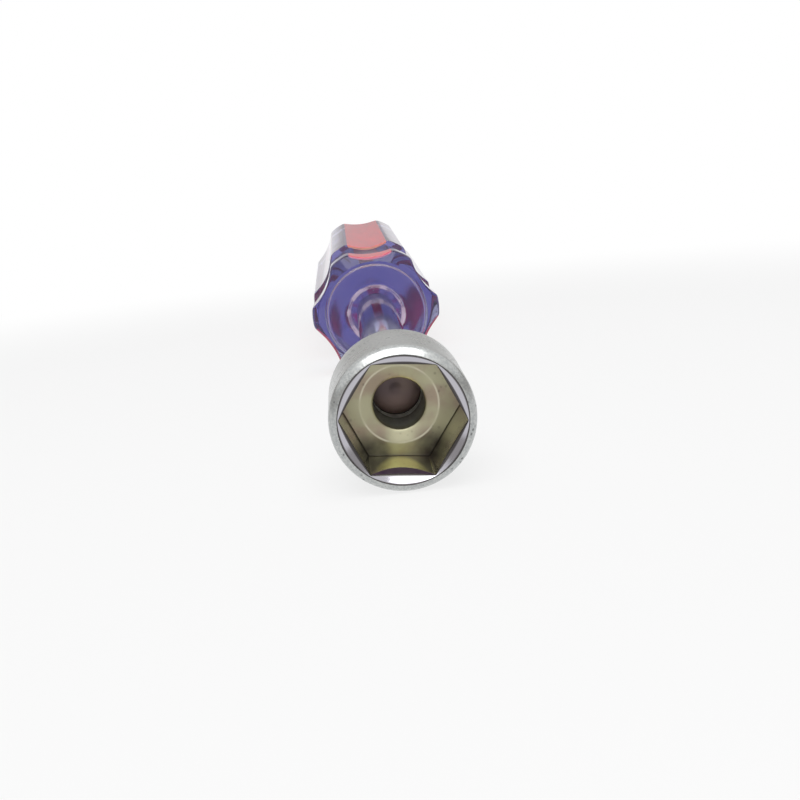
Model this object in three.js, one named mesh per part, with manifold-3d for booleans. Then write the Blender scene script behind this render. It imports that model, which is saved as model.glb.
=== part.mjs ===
// Hex nut driver: a chromed socket on a plain round shaft, pressed into a clear ribbed handle with red stripes.
// The tool's axis is Y. The socket's mouth faces -Y, the handle's flat butt lies at the origin, and Z is up.
import * as THREE from "three";
import { mergeVertices } from "three/addons/utils/BufferGeometryUtils.js";
import Module from "manifold-3d";

const wasm = await Module();
wasm.setup();

// Driving dimensions, in millimetres
const handleLength = 105;
const handleDiameter = 26;
const bladeReach = 100;
const shaftDiameter = 8;
const socketDiameter = 18.8;
const hexAcrossFlats = 14.1;
const hexDepth = 10.2;

// Fits: what is pressed or fused together keeps this much room on each side
const seatGap = 0.3;
// How far a cutting shape runs past the surface that it cuts
const overrun = 2;

// Places along the tool's axis
const buttY = 0;
const frontY = buttY - handleLength;
const mouthY = frontY - bladeReach;

// Facets round a full turn, on large and on small round pieces
const turnFacets = 60;
const smallTurnFacets = 48;

// Ribbed bar of the handle: six ribs, with a shallow round flute between each two
const ribCount = 6;
const ribHalfAngle = THREE.MathUtils.degToRad(9.3);
const fluteDepth = 1.7;
const barRadius = handleDiameter / 2;
const fluteFloorRadius = barRadius - fluteDepth;
const ribPitch = (2 * Math.PI) / ribCount;
const fluteHalfAngle = ribPitch / 2 - ribHalfAngle;
const fluteHalfChord = barRadius * Math.sin(fluteHalfAngle);
const fluteChordRadius = barRadius * Math.cos(fluteHalfAngle);
const fluteSag = fluteChordRadius - fluteFloorRadius;
const fluteArcRadius = (fluteHalfChord ** 2 + fluteSag ** 2) / (2 * fluteSag);
const ribFacets = 4;
const fluteFacets = 8;

// Red segments: one in every other flute, from just inside the ribs down past the flute's floor
const stripeThickness = 0.55;
const stripeEdgeMargin = 0.15;
const stripeCount = ribCount / 2;
const stripeInnerRadius = fluteFloorRadius - stripeThickness;
const stripeGrooveRadius = stripeInnerRadius - seatGap;
const stripeHalfAngle = fluteHalfAngle - stripeEdgeMargin / barRadius;
const stripeFacets = 6;

// Turned neck between guard and grip, with five sharp rings on it
const neckRingCount = 5;
const neckRingPitch = 1.35;
const neckRingHeight = 0.4;
const neckRingWidth = 0.9;
const neckRingRelief = 0.05;
const neckRingRadius = stripeGrooveRadius - neckRingRelief;
const neckRadius = neckRingRadius - neckRingHeight;
const neckEndLand = 0.45;
const neckLength = neckRingCount * neckRingPitch + 2 * neckEndLand;

// Front of the handle: a thin disc, a rounded shoulder and the guard
const discRadius = 9.95;
const discThickness = 1.2;
const shoulderRadius = 10.4;
const shoulderLength = 1.8;
const guardWidth = 5;
const guardBackLength = 4.2;
const guardBackFillet = 1.6;
const neckCurveRadius = 13.9;
const buttRoundLength = 4;
const buttFaceRadius = 10.4;

// Places along the handle, measured back from its front face
const guardFront = discThickness + shoulderLength;
const guardBack = guardFront + guardWidth;
const neckFront = guardBack + guardBackLength;
const neckBack = neckFront + neckLength;
const neckRise = barRadius - neckRadius;
const gripFront = neckBack + Math.sqrt(2 * neckCurveRadius * neckRise - neckRise ** 2);
const gripBack = handleLength - buttRoundLength;
const neckMiddle = (neckFront + neckBack) / 2;

// Shaft and the hole that it is pressed into
const shaftInsertion = 46;
const shaftEndChamfer = 0.5;
const tangBevelLength = 2;
const tangBevelDepth = 1.3;
const centreDrillRadius = 0.9;
const entryRadius = 5.8;
const entryDepth = 1.2;
const drillPointAngle = THREE.MathUtils.degToRad(118);
const shaftRadius = shaftDiameter / 2;
const shaftHoleRadius = shaftRadius + seatGap;

// Socket: hex mouth with a lead-in, flat floor with a drilled cone, bore, and a hub behind. The blade is
// pressed in at any turn, so the flats of the hex lie a little round from the flutes of the handle.
const hexTurn = THREE.MathUtils.degToRad(-6);
const leadInRadius = 8.3;
const leadInAngle = THREE.MathUtils.degToRad(24);
const socketEdge = 0.35;
const headLength = 14.8;
const hubDiameter = 13;
const hubTaperLength = 3.6;
const socketLength = 31;
const hubChamfer = 0.7;
const pilotRadius = 5.1;
const boreRadius = 3.5;
const boreDepth = 20.7;
const socketRadius = socketDiameter / 2;
const hubRadius = hubDiameter / 2;
const hexHalf = hexAcrossFlats / 2;
const hexCornerRadius = hexHalf / Math.cos(Math.PI / 6);
const drillConeDepth = (radius) => radius / Math.tan(drillPointAngle / 2);

const materials = {
  clearAcetate: new THREE.MeshStandardMaterial({
    color: 0xb9aecb, roughness: 0.12, metalness: 0, transparent: true, opacity: 0.45,
  }),
  redAcetate: new THREE.MeshStandardMaterial({ color: 0xb0101e, roughness: 0.15, metalness: 0 }),
  shaftChrome: new THREE.MeshStandardMaterial({ color: 0xc9ccd2, roughness: 0.15, metalness: 1 }),
  socketChrome: new THREE.MeshStandardMaterial({ color: 0xb4b6b4, roughness: 0.32, metalness: 1 }),
};

// A closed triangle mesh becomes a solid that can be cut and joined.
function solidOf(geometry) {
  geometry.deleteAttribute("normal");
  geometry.deleteAttribute("uv");
  const merged = mergeVertices(geometry);
  const corners = merged.index.array;
  const kept = [];
  for (let i = 0; i < corners.length; i += 3) {
    const [a, b, c] = [corners[i], corners[i + 1], corners[i + 2]];
    if (a !== b && b !== c && c !== a) {
      kept.push(a, b, c);
    }
  }
  return new wasm.Manifold(new wasm.Mesh({
    numProp: 3,
    vertProperties: Float32Array.from(merged.attributes.position.array),
    triVerts: Uint32Array.from(kept),
  }));
}

// The solid's triangles go into a named mesh.
function meshOf(name, solid, material) {
  const data = solid.getMesh();
  const geometry = new THREE.BufferGeometry();
  geometry.setAttribute("position", new THREE.BufferAttribute(Float32Array.from(data.vertProperties), 3));
  geometry.setIndex(new THREE.BufferAttribute(Uint32Array.from(data.triVerts), 1));
  geometry.computeVertexNormals();
  const mesh = new THREE.Mesh(geometry, material);
  mesh.name = name;
  return mesh;
}

// A turned solid round the Y axis, from [distance, radius] pairs counted from startY, first to last along +Y.
function turned(outline, startY, facets) {
  const points = outline.map(([distance, radius]) => new THREE.Vector2(radius, startY + distance));
  return solidOf(new THREE.LatheGeometry(points, facets));
}

// A straight prism along Y: the shape's x stays X and its y becomes Z.
function prism(shape, startY, endY) {
  const geometry = new THREE.ExtrudeGeometry(shape, {
    depth: endY - startY, bevelEnabled: false, curveSegments: 1,
  });
  geometry.rotateX(Math.PI / 2);
  geometry.translate(0, endY, 0);
  return solidOf(geometry);
}

function polar(radius, angle) {
  return new THREE.Vector2(radius * Math.cos(angle), radius * Math.sin(angle));
}

// Section of the ribbed bar: arcs of the full radius on the ribs, hollow arcs in the flutes.
function ribbedSection() {
  const points = [];
  for (let rib = 0; rib < ribCount; rib += 1) {
    const ribAngle = rib * ribPitch;
    for (let i = 0; i <= ribFacets; i += 1) {
      points.push(polar(barRadius, ribAngle - ribHalfAngle + (2 * ribHalfAngle * i) / ribFacets));
    }
    const fluteAngle = ribAngle + ribPitch / 2;
    const arcCentre = polar(fluteFloorRadius + fluteArcRadius, fluteAngle);
    const arcHalfAngle = Math.asin(fluteHalfChord / fluteArcRadius);
    for (let i = 1; i < fluteFacets; i += 1) {
      const swing = arcHalfAngle - (2 * arcHalfAngle * i) / fluteFacets;
      points.push(polar(fluteArcRadius, fluteAngle + Math.PI + swing).add(arcCentre));
    }
  }
  return new THREE.Shape(points);
}

// Section of one red segment, or of the groove round it: a ring sector that runs out past the bar.
function segmentSection(centreAngle, innerRadius, halfAngle) {
  const points = [];
  for (let i = 0; i <= stripeFacets; i += 1) {
    points.push(polar(innerRadius, centreAngle + halfAngle - (2 * halfAngle * i) / stripeFacets));
  }
  for (let i = 0; i <= stripeFacets; i += 1) {
    points.push(polar(barRadius + overrun, centreAngle - halfAngle + (2 * halfAngle * i) / stripeFacets));
  }
  return new THREE.Shape(points);
}

// Points of a quarter ellipse from the first place to the second; it leaves the first along the radius.
function quarterRound([fromDistance, fromRadius], [toDistance, toRadius], steps) {
  const points = [];
  for (let i = 0; i <= steps; i += 1) {
    const swing = (Math.PI / 2) * (i / steps);
    points.push([
      fromDistance + (toDistance - fromDistance) * (1 - Math.cos(swing)),
      fromRadius + (toRadius - fromRadius) * Math.sin(swing),
    ]);
  }
  return points;
}

// Outline that the handle is turned to; it runs clear of the ribs on the guard and on the grip.
function handleOutline() {
  const clearRadius = barRadius + overrun;
  const outline = [[0, 0], [0, discRadius], [discThickness, discRadius]];
  outline.push(...quarterRound([discThickness, shoulderRadius], [guardFront, barRadius], 5));
  outline.push([guardFront, clearRadius], [guardBack, clearRadius], [guardBack, barRadius]);

  const filletSteps = 3;
  const slope = (barRadius - neckRadius) / (guardBackLength - guardBackFillet / 2);
  const filletStart = neckFront - guardBackFillet;
  const filletRise = (slope * guardBackFillet) / 2;
  for (let i = 0; i <= filletSteps; i += 1) {
    const along = i / filletSteps;
    outline.push([filletStart + guardBackFillet * along, neckRadius + filletRise * (1 - along) ** 2]);
  }

  for (let ring = 0; ring < neckRingCount; ring += 1) {
    const crest = neckFront + neckEndLand + neckRingPitch * (ring + 1 / 2);
    outline.push(
      [crest - neckRingWidth / 2, neckRadius],
      [crest, neckRingRadius],
      [crest + neckRingWidth / 2, neckRadius],
    );
  }

  const curveSteps = 10;
  const curveSwing = Math.acos(1 - neckRise / neckCurveRadius);
  for (let i = 0; i <= curveSteps; i += 1) {
    const swing = (curveSwing * i) / curveSteps;
    outline.push([
      neckBack + neckCurveRadius * Math.sin(swing),
      neckRadius + neckCurveRadius * (1 - Math.cos(swing)),
    ]);
  }
  outline.push([gripFront, clearRadius], [gripBack, clearRadius]);
  outline.push(...quarterRound([handleLength, buttFaceRadius], [gripBack, barRadius], 6).reverse());
  outline.push([handleLength, 0]);
  return outline;
}

// Blind hole for the shaft, with a wide chamfer where the shaft goes in and a drill point at its end.
function shaftHole() {
  const holeDepth = shaftInsertion + seatGap;
  const entrySlope = (entryRadius - shaftHoleRadius) / entryDepth;
  return turned([
    [-overrun, 0],
    [-overrun, entryRadius + entrySlope * overrun],
    [entryDepth, shaftHoleRadius],
    [holeDepth, shaftHoleRadius],
    [holeDepth + drillConeDepth(shaftHoleRadius), 0],
  ], frontY, smallTurnFacets);
}

const handleGroup = new THREE.Group();
const bladeGroup = new THREE.Group();

// Clear core: the ribbed bar, turned to its outline, less the grooves of the red segments and the hole
const ribbedBar = prism(ribbedSection(), frontY - overrun, buttY + overrun);
const turnedBlank = ribbedBar.intersect(turned(handleOutline(), frontY, turnFacets));
const grooveHalfAngle = stripeHalfAngle + seatGap / barRadius;
const stripeAngles = [];
for (let i = 0; i < stripeCount; i += 1) {
  stripeAngles.push(Math.PI / 2 + 2 * ribPitch * i);
}
let core = turnedBlank.subtract(shaftHole());
for (const angle of stripeAngles) {
  const groove = segmentSection(angle, stripeGrooveRadius, grooveHalfAngle);
  core = core.subtract(prism(groove, frontY - overrun, buttY + overrun));
}
handleGroup.add(meshOf("handle_core", core, materials.clearAcetate));

// Red segments: what the turned outline leaves of them on the grip and on the guard
const stripeSides = ["top", "left", "right"];
stripeAngles.forEach((angle, i) => {
  const section = segmentSection(angle, stripeInnerRadius, stripeHalfAngle);
  const onGrip = prism(section, frontY + neckMiddle, buttY + overrun).intersect(turnedBlank);
  const onGuard = prism(section, frontY - overrun, frontY + neckMiddle).intersect(turnedBlank);
  handleGroup.add(meshOf(`grip_stripe_${stripeSides[i]}`, onGrip, materials.redAcetate));
  handleGroup.add(meshOf(`guard_stripe_${stripeSides[i]}`, onGuard, materials.redAcetate));
});

// Shaft: a plain rod, chamfered and centre-drilled in front, bevelled at the end inside the handle
function shaft() {
  const startY = mouthY + boreDepth + seatGap;
  const length = frontY + shaftInsertion - startY;
  return turned([
    [drillConeDepth(centreDrillRadius), 0],
    [0, centreDrillRadius],
    [0, shaftRadius - shaftEndChamfer],
    [shaftEndChamfer, shaftRadius],
    [length - tangBevelLength, shaftRadius],
    [length, shaftRadius - tangBevelDepth],
    [length, 0],
  ], startY, smallTurnFacets);
}
bladeGroup.add(meshOf("shaft", shaft(), materials.shaftChrome));

// Socket: a turned body with the mouth, hex, drilled cone, bore and rear counterbore cut out of it
function socket() {
  const body = turned([
    [0, 0],
    [0, socketRadius - socketEdge],
    [socketEdge, socketRadius],
    [headLength, socketRadius],
    [headLength + hubTaperLength, hubRadius],
    [socketLength - hubChamfer, hubRadius],
    [socketLength, hubRadius - hubChamfer],
    [socketLength, 0],
  ], mouthY, turnFacets);

  const leadInDepth = leadInRadius * Math.tan(leadInAngle);
  const leadIn = turned([
    [-overrun, 0],
    [-overrun, leadInRadius + overrun / Math.tan(leadInAngle)],
    [leadInDepth, 0],
  ], mouthY, turnFacets);

  const corners = [];
  for (let i = 0; i < 6; i += 1) {
    corners.push(polar(hexCornerRadius, hexTurn + (i * Math.PI) / 3));
  }
  const hex = prism(new THREE.Shape(corners), mouthY - overrun, mouthY + hexDepth);

  const coneEnd = hexDepth + drillConeDepth(pilotRadius) - drillConeDepth(boreRadius);
  const counterboreRadius = shaftRadius + seatGap;
  const bore = turned([
    [hexDepth - overrun, 0],
    [hexDepth - overrun, pilotRadius],
    [hexDepth, pilotRadius],
    [coneEnd, boreRadius],
    [boreDepth, boreRadius],
    [boreDepth, counterboreRadius],
    [socketLength + overrun, counterboreRadius],
    [socketLength + overrun, 0],
  ], mouthY, smallTurnFacets);
  return body.subtract(leadIn).subtract(hex).subtract(bore);
}
bladeGroup.add(meshOf("socket", socket(), materials.socketChrome));

const nutDriver = new THREE.Group();
nutDriver.add(handleGroup, bladeGroup);

export default nutDriver;
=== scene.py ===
import math

import bmesh
import bpy
import numpy as np
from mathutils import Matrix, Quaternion, Vector


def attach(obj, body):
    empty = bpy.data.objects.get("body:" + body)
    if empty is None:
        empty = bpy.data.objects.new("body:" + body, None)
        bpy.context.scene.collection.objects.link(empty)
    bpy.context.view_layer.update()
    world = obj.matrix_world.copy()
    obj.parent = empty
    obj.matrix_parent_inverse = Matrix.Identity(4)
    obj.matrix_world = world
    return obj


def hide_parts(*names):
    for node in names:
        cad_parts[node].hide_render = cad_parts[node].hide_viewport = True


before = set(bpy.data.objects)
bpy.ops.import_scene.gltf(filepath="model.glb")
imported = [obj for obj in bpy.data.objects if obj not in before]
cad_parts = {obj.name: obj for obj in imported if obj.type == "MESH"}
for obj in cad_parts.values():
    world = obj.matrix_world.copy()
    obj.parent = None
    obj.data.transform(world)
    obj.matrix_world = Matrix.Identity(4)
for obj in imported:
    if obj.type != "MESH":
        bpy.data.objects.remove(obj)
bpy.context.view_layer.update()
scene = bpy.context.scene


# Camera: close in front of the socket and a little above it, looking almost along the blade,
# so that the whole driver is seen end on and the handle shows small behind the socket.
CAMERA_PLACE = Vector((-0.00491, -0.35897, 0.03488))
SIGHT_LINE = Vector((0.03012, 0.97840, -0.20453))
CAMERA_ROLL = math.radians(-5.91)
LENS_MM = 57.06
SENSOR_MM = 36.0
NEAR_CLIP = 0.01


def added(name, data):
    """A new object at the origin, unturned, for this camera, lamp or mesh."""
    thing = bpy.data.objects.new(name, data)
    scene.collection.objects.link(thing)
    return thing


camera_data = bpy.data.cameras.new("camera")
camera_data.lens = LENS_MM
camera_data.sensor_width = SENSOR_MM
camera_data.clip_start = NEAR_CLIP
camera = added("camera", camera_data)
camera.location = CAMERA_PLACE
camera.rotation_mode = "QUATERNION"
camera.rotation_quaternion = SIGHT_LINE.to_track_quat("-Z", "Y") @ Quaternion((0, 0, 1), CAMERA_ROLL)
scene.camera = camera
scene.view_settings.view_transform = "Standard"


# Socket: a short steel cylinder turned to a slimmer hub behind, with a hexagon broached into its mouth
# and a drilled cone and a bore below that. It is satin chrome outside, and thin olive plating inside.
# Sizes from here on are in millimetres, and MM makes them Blender's metres
MM = 0.001
MERGE_DISTANCE = 0.0001
MOUTH_Y = -205.0
SOCKET_RADIUS = 9.4
SOCKET_LENGTH = 31.0
HEAD_LENGTH = 14.8
HUB_RADIUS = 6.5
HUB_TAPER = 3.6
HUB_CHAMFER = 0.7
RIM_ROUNDING = 1.66
RIM_SWING_DEG = 68
RIM_STEPS = 12
LEAD_IN_RADIUS = 8.3
LEAD_IN_SLOPE = math.tan(math.radians(24))
LEAD_IN_EDGE = 0.06
HEX_HALF = 7.05
HEX_CORNER_LIMIT = 8.09
HEX_TURN_DEG = -6
HEX_DEPTH = 10.2
FLOOR_FILLET = 0.16
PILOT_RADIUS = 5.1
PILOT_DEPTH = 0.06
DRILL_SLOPE = 0.3
BORE_RADIUS = 3.5
BORE_DEPTH = 20.7
# A painted highlight lies as a band in the bore between these depths
HIGHLIGHT_BAND_FRONT = 18.1
HIGHLIGHT_BAND_BACK = 20.0
SEAT_RADIUS = 4.06
SEAT_CHAMFER = 0.3
SOCKET_COLUMNS = 360
SOCKET_SMOOTHING = 28


def new_mesh(name, points, edges, faces):
    """A mesh from its points, in metres, and its edges or faces."""
    mesh = bpy.data.meshes.new(name)
    mesh.from_pydata(points, edges, faces)
    return mesh


def tidy_piece(piece, smooth_limit):
    """Merges doubles, closes poles, turns every face outwards and shades smooth up to an angle."""
    work = bmesh.new()
    work.from_mesh(piece.data)
    bmesh.ops.remove_doubles(work, verts=work.verts, dist=MERGE_DISTANCE * MM)
    bmesh.ops.recalc_face_normals(work, faces=work.faces)
    work.to_mesh(piece.data)
    work.free()
    piece.data.shade_smooth()
    piece.data.set_sharp_from_angle(angle=math.radians(smooth_limit))
    return piece


def ring_mesh(name, rings, columns, smooth_limit, loop=False, paint=None):
    """A closed piece from rings of (radius, distance along Y), one value or one for each column.

    Paint gives the points named numbers that the finish reads, one for a ring or one for each column.
    """
    turn = np.arange(columns) * (2 * math.pi / columns)
    points = []
    for radius, along in rings:
        radius = np.broadcast_to(radius, columns)
        along = np.broadcast_to(along, columns)
        points.append(np.stack([radius * np.cos(turn), along, radius * np.sin(turn)], axis=1))
    count = len(rings)
    faces = []
    for row in range(count if loop else count - 1):
        here = row * columns
        there = ((row + 1) % count) * columns
        for column in range(columns):
            beside = (column + 1) % columns
            faces.append((here + column, here + beside, there + beside, there + column))
    mesh = new_mesh(name, (np.concatenate(points) * MM).tolist(), [], faces)
    for label, shares in (paint or {}).items():
        layer = mesh.attributes.new(label, "FLOAT", "POINT")
        spread = [np.broadcast_to(share, columns) for share in shares]
        layer.data.foreach_set("value", np.concatenate(spread).astype(np.float32))
    return tidy_piece(added(name, mesh), smooth_limit)


def broached_hexagon(columns):
    """The hexagon's wall at each column.

    Gives its distance from the axis, the place along its flat, and whether that is the lowest flat.
    """
    turn = np.arange(columns) * (360 / columns)
    from_flat = np.radians(np.mod(turn - HEX_TURN_DEG, 60) - 30)
    wall = HEX_HALF / np.cos(from_flat)
    lowest = np.abs(turn - HEX_TURN_DEG - 270) < 30
    return np.minimum(wall, HEX_CORNER_LIMIT), HEX_HALF * np.tan(from_flat), lowest


def socket_rings():
    """Rings round the section, from the hub's back face forwards, over the rim and in to the bore.

    Each has its place behind the mouth and its olive plating, from 0 outside to 1 inside, how much
    painted shade darkens it at an edge, a corner or in the bore, and how much painted highlight lightens
    it.
    """
    rings = []

    def ring(radius, depth, plating=0.0, edge_shade=0.0, highlight_paint=0.0):
        rings.append((radius, MOUTH_Y + np.asarray(depth), plating, edge_shade, highlight_paint))

    wall, _, lowest = broached_hexagon(SOCKET_COLUMNS)
    back = SOCKET_LENGTH
    ring(SEAT_RADIUS, back - SEAT_CHAMFER, plating=0.3, edge_shade=0.6)
    ring(SEAT_RADIUS + SEAT_CHAMFER, back, edge_shade=0.5)
    ring(SEAT_RADIUS + 0.42, back)
    ring(HUB_RADIUS - HUB_CHAMFER - 0.1, back)
    ring(HUB_RADIUS - HUB_CHAMFER, back - 0.03)
    ring(HUB_RADIUS - 0.05, back - HUB_CHAMFER + 0.05)
    for before in (HUB_CHAMFER + 0.08, 5, 9):
        ring(HUB_RADIUS, back - before)
    taper_start = HEAD_LENGTH + HUB_TAPER
    rise = SOCKET_RADIUS - HUB_RADIUS
    ring(HUB_RADIUS, taper_start + 0.9)
    ring(HUB_RADIUS + 0.06, taper_start + 0.35)
    ring(HUB_RADIUS + 0.24, taper_start - 0.25)
    for share in (0.3, 0.5, 0.7, 0.86):
        ring(HUB_RADIUS + rise * share, taper_start - HUB_TAPER * share)
    ring(SOCKET_RADIUS - 0.12, HEAD_LENGTH + 0.17)
    ring(SOCKET_RADIUS - 0.03, HEAD_LENGTH - 0.05)
    for depth in (HEAD_LENGTH - 0.35, HEAD_LENGTH - 4, 6, 2.5):
        ring(SOCKET_RADIUS, depth)
    rim_middle = SOCKET_RADIUS - RIM_ROUNDING
    rim_depth = RIM_ROUNDING * math.sin(math.radians(RIM_SWING_DEG))
    for swing in np.radians(np.linspace(0, -RIM_SWING_DEG, RIM_STEPS + 1)):
        ring(rim_middle + RIM_ROUNDING * math.cos(swing), rim_depth + RIM_ROUNDING * math.sin(swing))
    # Painted shade darkens the lead-in's edges, the floor's corners, the seat and the bore
    ring(LEAD_IN_RADIUS + LEAD_IN_EDGE, 0.0, edge_shade=1.0)
    ring(LEAD_IN_RADIUS - LEAD_IN_EDGE, LEAD_IN_EDGE * LEAD_IN_SLOPE, edge_shade=1.0)
    # The lead-in is a cone; it meets each flat in a curve, deepest at the middle of the flat
    above_lowest = np.where(lowest, 0.0, 1.0)
    for share, edge_shade in ((0.12, 0.8), (0.19, 0.0), (0.5, 0.0), (0.64, 0.0), (0.74, above_lowest)):
        inward = np.maximum((LEAD_IN_RADIUS - wall) * share, LEAD_IN_EDGE + 0.02 * share)
        ring(LEAD_IN_RADIUS - inward, inward * LEAD_IN_SLOPE, edge_shade=edge_shade)
    lead_end = (LEAD_IN_RADIUS - wall) * LEAD_IN_SLOPE
    ring(wall + 0.03, lead_end, plating=0.3, edge_shade=1.0)
    ring(wall, lead_end + 0.05, plating=0.6, edge_shade=1.0)
    ring(wall, lead_end + 0.3, plating=0.9, edge_shade=0.8)
    ring(wall, lead_end + 0.55, plating=1.0)
    for depth in (2.0, 4.0, 6.0, 8.0, 9.4):
        ring(wall, depth, plating=1.0)
    ring(wall, HEX_DEPTH - FLOOR_FILLET, plating=1.0, edge_shade=0.3)
    ring(wall - 0.03, HEX_DEPTH - 0.075, plating=1.0, edge_shade=0.9)
    ring(wall - 0.085, HEX_DEPTH - 0.02, plating=1.0, edge_shade=0.8)
    ring(wall - FLOOR_FILLET, HEX_DEPTH, plating=1.0, edge_shade=0.2)
    ring(wall - FLOOR_FILLET - 0.08, HEX_DEPTH, plating=1.0)
    ring((wall + 2 * PILOT_RADIUS) / 3, HEX_DEPTH, plating=1.0)
    # A painted highlight, a pale edge, runs round the pilot drill's cone at its corner
    ring(PILOT_RADIUS + 0.34, HEX_DEPTH, plating=1.0)
    ring(PILOT_RADIUS + 0.20, HEX_DEPTH, plating=1.0, highlight_paint=0.7)
    ring(PILOT_RADIUS + 0.10, HEX_DEPTH + PILOT_DEPTH / 2, plating=1.0, highlight_paint=0.7)
    ring(PILOT_RADIUS - 0.02, HEX_DEPTH + PILOT_DEPTH, plating=1.0)
    narrowing = BORE_RADIUS - PILOT_RADIUS
    cone_depth = (PILOT_RADIUS - BORE_RADIUS) * DRILL_SLOPE
    for share in (0.2, 0.5, 0.8, 0.95):
        ring(PILOT_RADIUS + narrowing * share, HEX_DEPTH + PILOT_DEPTH + cone_depth * share, plating=1.0)
    ring(BORE_RADIUS + 0.01, HEX_DEPTH + cone_depth + 0.1, plating=1.0, edge_shade=0.6)
    ring(BORE_RADIUS, HEX_DEPTH + cone_depth + 0.25, plating=1.0, edge_shade=0.5)
    for depth in (13.0, 15.0, 16.6):
        ring(BORE_RADIUS, depth, plating=0.2, edge_shade=0.15)
    # A band near its bottom is painted pale: a painted highlight
    ring(BORE_RADIUS, HIGHLIGHT_BAND_FRONT - 0.5, plating=0.2, edge_shade=0.5)
    ring(BORE_RADIUS, HIGHLIGHT_BAND_FRONT, plating=0.2, highlight_paint=1.0)
    ring(BORE_RADIUS, HIGHLIGHT_BAND_BACK, plating=0.2, highlight_paint=1.0)
    ring(BORE_RADIUS, HIGHLIGHT_BAND_BACK + 0.3, plating=0.6, edge_shade=0.9)
    ring(BORE_RADIUS, BORE_DEPTH, plating=1.0, edge_shade=1.0)
    ring(SEAT_RADIUS, BORE_DEPTH, plating=1.0, edge_shade=1.0)
    ring(SEAT_RADIUS, BORE_DEPTH + 5.3, plating=1.0, edge_shade=1.0)
    return rings


def plugged(tree, value, inlet):
    """Links a node's output to this input, or writes a plain value into it."""
    if isinstance(value, bpy.types.NodeSocket):
        tree.links.new(value, inlet)
    else:
        inlet.default_value = value


def fed(tree, kind, outlet=0, settings=None, **inputs):
    """A node of this kind with its named inputs set or linked; gives back one of its outputs."""
    node = tree.nodes.new(kind)
    for key, value in (settings or {}).items():
        setattr(node, key, value)
    for label, value in inputs.items():
        plugged(tree, value, node.inputs[label.replace("_", " ")])
    return node.outputs[outlet]


def maths(tree, operation, *values):
    """One Math node; each value is a number or another node's output."""
    node = tree.nodes.new("ShaderNodeMath")
    node.operation = operation
    for value, inlet in zip(values, node.inputs):
        plugged(tree, value, inlet)
    return node.outputs[0]


def product(tree, first, *others):
    """All of these multiplied together."""
    for other in others:
        first = maths(tree, "MULTIPLY", first, other)
    return first


def total(tree, first, *others):
    """All of these added up."""
    for other in others:
        first = maths(tree, "ADD", first, other)
    return first


def rest_of(tree, share):
    """What this share leaves of 1."""
    return maths(tree, "SUBTRACT", 1.0, share)


def blended(tree, share, first, second):
    """A colour between two, by a share from 0 to 1."""
    node = tree.nodes.new("ShaderNodeMix")
    node.data_type = "RGBA"
    for value, inlet in zip((share, first, second), (node.inputs[0], node.inputs[6], node.inputs[7])):
        plugged(tree, value, inlet)
    return node.outputs[2]


def layered(tree, colour, layers):
    """The colour with each layer of (share, colour) laid over it in turn."""
    for share, layer in layers:
        colour = blended(tree, share, colour, layer)
    return colour


def ramped(tree, value, start, end, low=0.0, high=1.0):
    """Value mapped smoothly from start..end to low..high, and held outside that."""
    node = tree.nodes.new("ShaderNodeMapRange")
    node.interpolation_type = "SMOOTHSTEP"
    tree.links.new(value, node.inputs["Value"])
    for label, number in (("From Min", start), ("From Max", end), ("To Min", low), ("To Max", high)):
        node.inputs[label].default_value = number
    return node.outputs["Result"]


def noise(tree, point, scale, detail, roughness=0.5):
    """Cloudy noise from 0 to 1, with this many waves to a unit of the point's coordinates."""
    return fed(tree, "ShaderNodeTexNoise", Vector=point, Scale=scale, Detail=detail, Roughness=roughness)


def parted(tree, vector):
    """A vector's X, Y and Z."""
    node = tree.nodes.new("ShaderNodeSeparateXYZ")
    tree.links.new(vector, node.inputs[0])
    return node.outputs


def object_place(tree):
    """The point in object coordinates, and its X, Y and Z."""
    point = fed(tree, "ShaderNodeTexCoord", outlet="Object")
    return point, parted(tree, point)


def from_axis(tree, place):
    """Distance of a place from the tool's own axis, which is Y."""
    squares = [product(tree, place[side], place[side]) for side in ("X", "Z")]
    return maths(tree, "SQRT", total(tree, *squares))


def painted(tree, label):
    """A number that the piece's own points carry."""
    return fed(tree, "ShaderNodeAttribute", outlet="Fac", settings={"attribute_name": label})


def turning_marks(tree, across, along, point, pitch, wander):
    """Fine rings that a lathe or a polishing belt leaves, a little uneven round the turn."""
    drift = noise(tree, point, wander, 1.0)
    place = fed(
        tree, "ShaderNodeCombineXYZ",
        X=product(tree, across, 1 / pitch),
        Y=product(tree, along, 1 / pitch),
        Z=product(tree, drift, 4.0),
    )
    return noise(tree, place, 1.0, 3.0, roughness=0.6)


def new_finish(name):
    """A material with a Principled shader; gives back the material, its tree and that shader."""
    finish = bpy.data.materials.new(name)
    finish.use_nodes = True
    tree = finish.node_tree
    return finish, tree, next(node for node in tree.nodes if node.type == "BSDF_PRINCIPLED")


def bumped(tree, shader, height, distance, strength):
    """Gives the shader relief of this height."""
    relief = fed(tree, "ShaderNodeBump", Height=height, Distance=distance, Strength=strength)
    tree.links.new(relief, shader.inputs["Normal"])


SATIN_CHROME = (0.40, 0.415, 0.415, 1)
WORN_CHROME = (0.51, 0.52, 0.51, 1)
BRIGHT_CHROME = (0.48, 0.47, 0.51, 1)
OLIVE_PLATING = (0.27, 0.25, 0.165, 1)
BROWN_PLATING = (0.25, 0.20, 0.15, 1)
# The drilled floor's olive is painted about twice as light as the walls' plating: painted light,
# offsetting the shade deep in the hexagon
LIGHTENED_DRILLED_OLIVE = (0.50, 0.48, 0.335, 1)
LIGHTENED_DRILLED_PINK = (0.45, 0.37, 0.29, 1)
# Painted highlights: a pale edge round the pilot's cone, and a pale band in the bore
PAINTED_PILOT_HIGHLIGHT = (0.74, 0.71, 0.57, 1)
PAINTED_BORE_HIGHLIGHT = (0.93, 0.95, 0.92, 1)
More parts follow.
